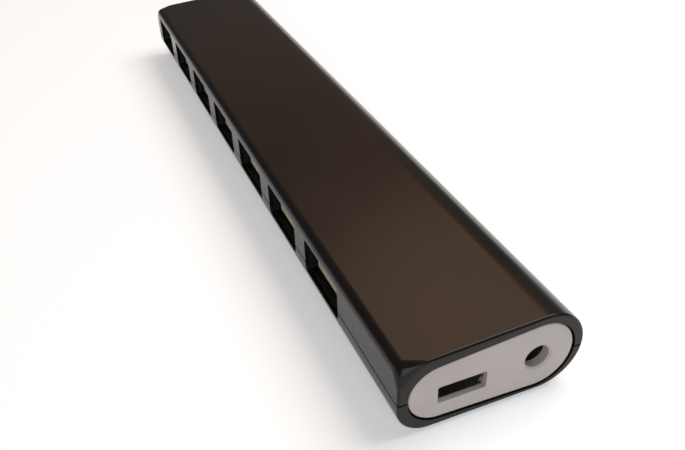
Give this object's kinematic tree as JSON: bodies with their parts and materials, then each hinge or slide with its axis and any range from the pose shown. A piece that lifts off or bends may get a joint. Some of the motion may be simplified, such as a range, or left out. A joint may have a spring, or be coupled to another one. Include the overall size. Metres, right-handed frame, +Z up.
{
  "type": "usb hub bar",
  "caption": "Slim desktop USB hub bar: a row of USB-A sockets along one long side, a mini-B socket and a round power socket in one end, on rubber feet.",
  "frame": {"origin": "on the surface that the feet stand on, under the middle of the bar's length and depth", "axes": "+X along the length towards the end with the mini-B and power sockets, -Y towards the row of ports, +Z up"},
  "size_m": [0.1448, 0.0278, 0.0136],
  "materials": {
    "gloss_black": "polished, very dark warm black",
    "plate_grey": "satin, pale warm grey",
    "dark_steel": "dark-plated sheet",
    "socket_steel": "plated sheet",
    "ivory": "moulded insulator",
    "gilt_contact": "gold-plated spring",
    "jack_black": "moulded insulator",
    "jack_metal": "nickel-plated",
    "board_green": "laminate with solder mask",
    "chip_black": "moulded package",
    "can_metal": "drawn can",
    "screw_steel": "zinc-plated",
    "foot_rubber": "matt"
  },
  "bodies": {
    "hub": {"top_cover": "gloss_black", "bottom_cover": "gloss_black", "socket_end_plate": "plate_grey", "blank_end_plate": "plate_grey", "usb_shell_1": "dark_steel", "usb_shell_2": "dark_steel", "usb_shell_3": "dark_steel", "usb_shell_4": "dark_steel", "usb_shell_5": "dark_steel", "usb_shell_6": "dark_steel", "usb_shell_7": "dark_steel", "mini_usb_shell": "socket_steel", "usb_tongue_1": "ivory", "usb_tongue_2": "ivory", "usb_tongue_3": "ivory", "usb_tongue_4": "ivory", "usb_tongue_5": "ivory", "usb_tongue_6": "ivory", "usb_tongue_7": "ivory", "usb_pins_1": "gilt_contact", "usb_pins_2": "gilt_contact", "usb_pins_3": "gilt_contact", "usb_pins_4": "gilt_contact", "usb_pins_5": "gilt_contact", "usb_pins_6": "gilt_contact", "usb_pins_7": "gilt_contact", "mini_usb_tongue": "jack_black", "power_jack_body": "jack_black", "power_jack_pin": "jack_metal", "circuit_board": "board_green", "hub_chip_a": "chip_black", "hub_chip_b": "chip_black", "voltage_regulator": "chip_black", "crystal_a": "can_metal", "crystal_b": "can_metal", "bulk_capacitor_a": "can_metal", "bulk_capacitor_b": "can_metal", "bulk_capacitor_c": "can_metal", "bulk_capacitor_d": "can_metal", "screw_near_front": "screw_steel", "screw_near_rear": "screw_steel", "screw_far_front": "screw_steel", "screw_far_rear": "screw_steel", "foot_near_front": "foot_rubber", "foot_near_rear": "foot_rubber", "foot_far_front": "foot_rubber", "foot_far_rear": "foot_rubber"},
    "usb_contacts_1": {"usb_contacts_1": "gilt_contact"},
    "usb_contacts_2": {"usb_contacts_2": "gilt_contact"},
    "usb_contacts_3": {"usb_contacts_3": "gilt_contact"},
    "usb_contacts_4": {"usb_contacts_4": "gilt_contact"},
    "usb_contacts_5": {"usb_contacts_5": "gilt_contact"},
    "usb_contacts_6": {"usb_contacts_6": "gilt_contact"},
    "usb_contacts_7": {"usb_contacts_7": "gilt_contact"},
    "mini_usb_contacts": {"mini_usb_contacts": "gilt_contact"},
    "power_jack_spring": {"power_jack_spring": "jack_metal"}
  },
  "joints": [
    {"name": "usb_contacts_1_dip", "type": "hinge", "parent": "hub", "child": "usb_contacts_1", "pos_m": [0.046, -0.004, 0.00696], "axis": [1, 0, 0], "range_deg": [0, 4], "stiffness_Nm_per_rad": 0.05},
    {"name": "usb_contacts_2_dip", "type": "hinge", "parent": "hub", "child": "usb_contacts_2", "pos_m": [0.028, -0.004, 0.00696], "axis": [1, 0, 0], "range_deg": [0, 4], "stiffness_Nm_per_rad": 0.05},
    {"name": "usb_contacts_3_dip", "type": "hinge", "parent": "hub", "child": "usb_contacts_3", "pos_m": [0.01, -0.004, 0.00696], "axis": [1, 0, 0], "range_deg": [0, 4], "stiffness_Nm_per_rad": 0.05},
    {"name": "usb_contacts_4_dip", "type": "hinge", "parent": "hub", "child": "usb_contacts_4", "pos_m": [-0.008, -0.004, 0.00696], "axis": [1, 0, 0], "range_deg": [0, 4], "stiffness_Nm_per_rad": 0.05},
    {"name": "usb_contacts_5_dip", "type": "hinge", "parent": "hub", "child": "usb_contacts_5", "pos_m": [-0.026, -0.004, 0.00696], "axis": [1, 0, 0], "range_deg": [0, 4], "stiffness_Nm_per_rad": 0.05},
    {"name": "usb_contacts_6_dip", "type": "hinge", "parent": "hub", "child": "usb_contacts_6", "pos_m": [-0.044, -0.004, 0.00696], "axis": [1, 0, 0], "range_deg": [0, 4], "stiffness_Nm_per_rad": 0.05},
    {"name": "usb_contacts_7_dip", "type": "hinge", "parent": "hub", "child": "usb_contacts_7", "pos_m": [-0.062, -0.004, 0.00696], "axis": [1, 0, 0], "range_deg": [0, 4], "stiffness_Nm_per_rad": 0.05},
    {"name": "mini_usb_contacts_dip", "type": "hinge", "parent": "hub", "child": "mini_usb_contacts", "pos_m": [0.0649, -0.00455, 0.00617], "axis": [0, -1, 0], "range_deg": [0, 3], "stiffness_Nm_per_rad": 0.01},
    {"name": "power_jack_spring_dip", "type": "hinge", "parent": "hub", "child": "power_jack_spring", "pos_m": [0.06155, 0.0069, 0.00415], "axis": [0, 1, 0], "range_deg": [0, 4], "stiffness_Nm_per_rad": 0.05}
  ]
}
